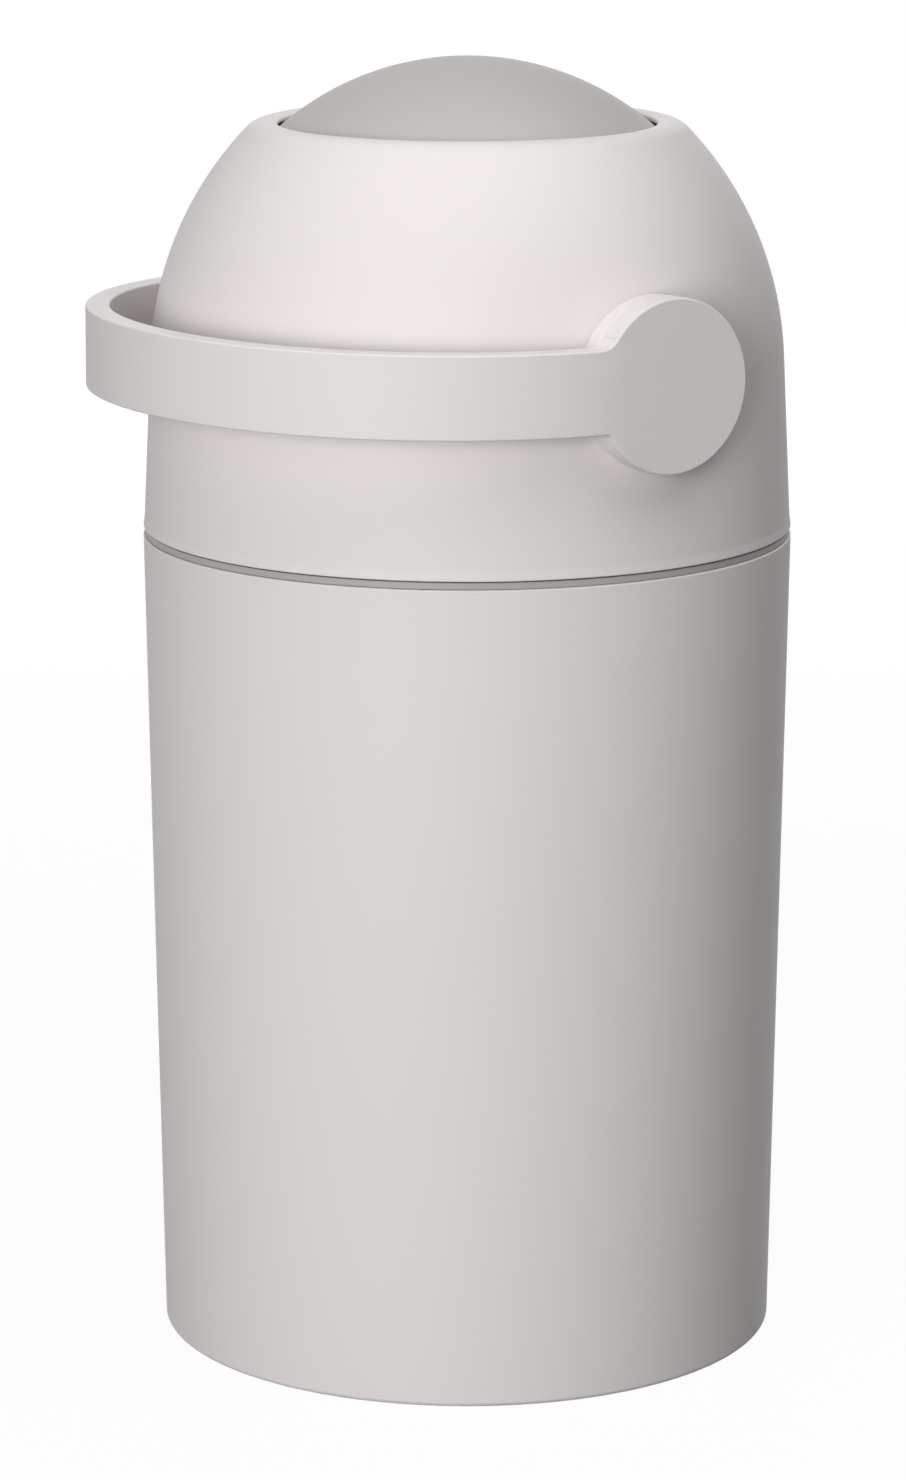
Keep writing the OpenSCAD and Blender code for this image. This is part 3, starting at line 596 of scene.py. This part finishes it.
def makeHandle(s):
    # modelled flat, as if the band were unrolled, then bent along its plan
    half, hubR = s["gripH"] / 2, s["hubR"]
    sweep = math.radians(s["sweep"])
    armEnd = s["armL"] + s["armR"] * sweep
    length = 2 * (armEnd + s["frontR"] * (math.pi / 2 - sweep))
    top, low = filletPlace(s, s["filletTop"]), filletPlace(s, s["filletLow"])
    around = 2 * math.pi - top["lean"] - low["lean"]
    bm = bmesh.new()
    last = bm.verts.new((low["x"], 0, -half))
    last = arcFrom(bm, last, Vector((low["x"], -low["z"])), math.pi / 2 - low["lean"], 12)
    last = arcFrom(bm, last, Vector((0, 0)), -around, 3)
    last = arcFrom(bm, last, Vector((top["x"], top["z"])), math.pi / 2 - top["lean"], 6)
    last = stepTo(bm, last, Vector((length - top["x"], half)))
    last = arcFrom(bm, last, Vector((length - top["x"], top["z"])), math.pi / 2 - top["lean"], 6)
    last = arcFrom(bm, last, Vector((length, 0)), -around, 3)
    last = arcFrom(bm, last, Vector((length - low["x"], -low["z"])), math.pi / 2 - low["lean"], 12)
    stepTo(bm, last, Vector((low["x"], -half)))
    bmesh.ops.remove_doubles(bm, verts=bm.verts[:], dist=0.01)
    face = bmesh.ops.contextual_create(bm, geom=bm.edges[:])["faces"]
    grown = bmesh.ops.extrude_face_region(bm, geom=face)["geom"]
    moved = [g for g in grown if isinstance(g, bmesh.types.BMVert)]
    bmesh.ops.translate(bm, verts=moved, vec=(0, s["gripT"], 0))
    bmesh.ops.recalc_face_normals(bm, faces=bm.faces[:])
    rims = [e for e in bm.edges if e.calc_face_angle(0) > 1.2 and not onHubBack(e, s, length)]
    bmesh.ops.bevel(bm, geom=rims, offset=s["round"], segments=4, profile=0.5, affect="EDGES",
                    material=-1)
    at, rise = s["armL"], math.radians(s["rise"])
    count = round((length - 2 * at) / s["station"])
    for index in range(count + 1):
        bmesh.ops.bisect_plane(bm, geom=bm.verts[:] + bm.edges[:] + bm.faces[:], dist=0.0005,
                               plane_co=(at + (length - 2 * at) * index / count, 0, 0),
                               plane_no=(1, 0, 0))
    for vert in bm.verts:
        along, depth, up = vert.co
        flip = along > length / 2
        if flip:
            along = length - along
        if along <= s["armL"]:
            x, y = s["faceX"] - depth, along
        elif along <= armEnd:
            a = (along - s["armL"]) / s["armR"]
            x = s["armQ"] + (s["armR"] - depth) * math.cos(a)
            y = s["armL"] + (s["armR"] - depth) * math.sin(a)
        else:
            a = sweep + (along - armEnd) / s["frontR"]
            x = (s["frontR"] - depth) * math.cos(a)
            y = s["reach"] - s["frontR"] + (s["frontR"] - depth) * math.sin(a)
        out = y * math.cos(rise) - up * math.sin(rise)
        vert.co = (-x if flip else x, -out, axleZ + y * math.sin(rise) + up * math.cos(rise))
    bmesh.ops.recalc_face_normals(bm, faces=bm.faces[:])
    parts = [bm]
    for side in (1, -1):
        # the round end's back, down to its running face
        deep = s["faceX"] - s["gripT"] - s["hubX"] + s["overlap"]
        back = [(0, 0), (hubR, 0, s["hubRound"]), (hubR, deep), (0, deep)]
        parts.append(asDisc(ring(back, 120), s["hubX"], side))
    return merged(parts)


piece("gripHandle", makeHandle(handle), finishes["shell"], "ball", ["handle"])
print("stage: handle made")


view = {"azimuth": 55.46, "distance": 2222.0, "height": 753.0, "pitch": 12.61, "yaw": 0.155,
        "lens": 128.46, "sensor": 36.0, "clip": 50.0}


def makeCamera(s):
    lens = bpy.data.cameras.new("studioCamera")
    lens.lens, lens.sensor_width, lens.clip_end = s["lens"], s["sensor"], s["clip"]
    made = bpy.data.objects.new("studioCamera", lens)
    bpy.context.scene.collection.objects.link(made)
    a = math.radians(s["azimuth"])
    made.location = Vector((math.sin(a) * s["distance"], -math.cos(a) * s["distance"], s["height"])) * mm
    made.rotation_euler = (math.radians(90 - s["pitch"]), 0, math.radians(s["azimuth"] + s["yaw"]))
    bpy.context.scene.camera = made


makeCamera(view)


lamps = {
    "keyLeft": {"turn": -20, "up": 8, "far": 3.0, "size": 1.4, "power": 56},
    "highLeft": {"turn": -20, "up": 28, "far": 3.0, "size": 1.4, "power": 5},
    "wideLeft": {"turn": -45, "up": 20, "far": 3.0, "size": 1.8, "power": 5},
    "overhead": {"turn": 5, "up": 86, "far": 2.2, "size": 2.2, "power": 10},
    "highRight": {"turn": 60, "up": 70, "far": 2.4, "size": 2.4, "power": 27},
    "backSoft": {"turn": 180, "up": 8, "far": 3.0, "size": 1.2, "power": 34, "shine": False},
}
lampAim = 0.28  # height in metres that the lamps stand around and look at
room = {"floor": (116, 116, 116), "size": 30.0, "glow": 0.8, "white": 1.19, "fadeFrom": 0.6,
        "fadeTo": 2.4, "worldLight": 0.08}


def aim(made, target):
    made.rotation_euler = (target - made.location).to_track_quat("-Z", "Y").to_euler()


def makeLamps(rows):
    # turn is measured from the camera's side, to the right when positive
    for name, s in rows.items():
        data = bpy.data.lights.new(name, "AREA")
        data.shape, data.size, data.energy = "DISK", s["size"], s["power"]
        made = bpy.data.objects.new(name, data)
        bpy.context.scene.collection.objects.link(made)
        a, e = math.radians(view["azimuth"] + s["turn"]), math.radians(s["up"])
        towards = Vector((math.sin(a) * math.cos(e), -math.cos(a) * math.cos(e), math.sin(e)))
        middle = Vector((0, 0, lampAim))
        made.location = middle + towards * s["far"]
        made.visible_glossy = s.get("shine", True)  # the one behind draws no bright line around the top
        aim(made, middle)


makeLamps(lamps)


def makeRoom(s):
    bm = bmesh.new()
    bmesh.ops.create_grid(bm, x_segments=1, y_segments=1, size=s["size"])
    mesh = bpy.data.meshes.new("studioFloor")
    bm.to_mesh(mesh)
    bm.free()
    floor = bpy.data.objects.new("studioFloor", mesh)
    bpy.context.scene.collection.objects.link(floor)
    look = Finish(bpy.data.materials.new("studioFloor"), "ShaderNodeMixShader")
    matte = look.node("ShaderNodeBsdfDiffuse", None, {"Color": tone(*s["floor"])})
    # near the object the floor shows some of its shadow, and further out it turns plain white
    far = look.node("ShaderNodeVectorMath", {"operation": "LENGTH"}, {0: look.place}, output="Value")
    fade = look.node("ShaderNodeMapRange", {"interpolation_type": "SMOOTHSTEP"},
                     {"Value": far, "From Min": s["fadeFrom"], "From Max": s["fadeTo"]})
    white = look.node("ShaderNodeEmission", None, {"Color": (1, 1, 1, 1), "Strength": s["white"]})
    share = s["glow"] + (1 / s["white"] - s["glow"]) * fade
    look.feed(look.shader.inputs[0], look.straight() * share)
    look.feed(look.shader.inputs[1], matte)
    look.feed(look.shader.inputs[2], white)
    mesh.materials.append(look.material)

    bpy.context.scene.world = bpy.data.worlds.new("studioWorld")
    sky = Finish(bpy.context.scene.world, "ShaderNodeMixShader", "ShaderNodeOutputWorld")
    sky.feed(sky.shader.inputs[0], sky.straight())
    for index, strength in ((1, s["worldLight"]), (2, 1.0)):
        sky.feed(sky.shader.inputs[index], sky.node(
            "ShaderNodeBackground", None, {"Color": (1, 1, 1, 1), "Strength": strength}))


makeRoom(room)
bpy.context.scene.view_settings.view_transform = "Standard"
print("stage: camera, lights and room made")
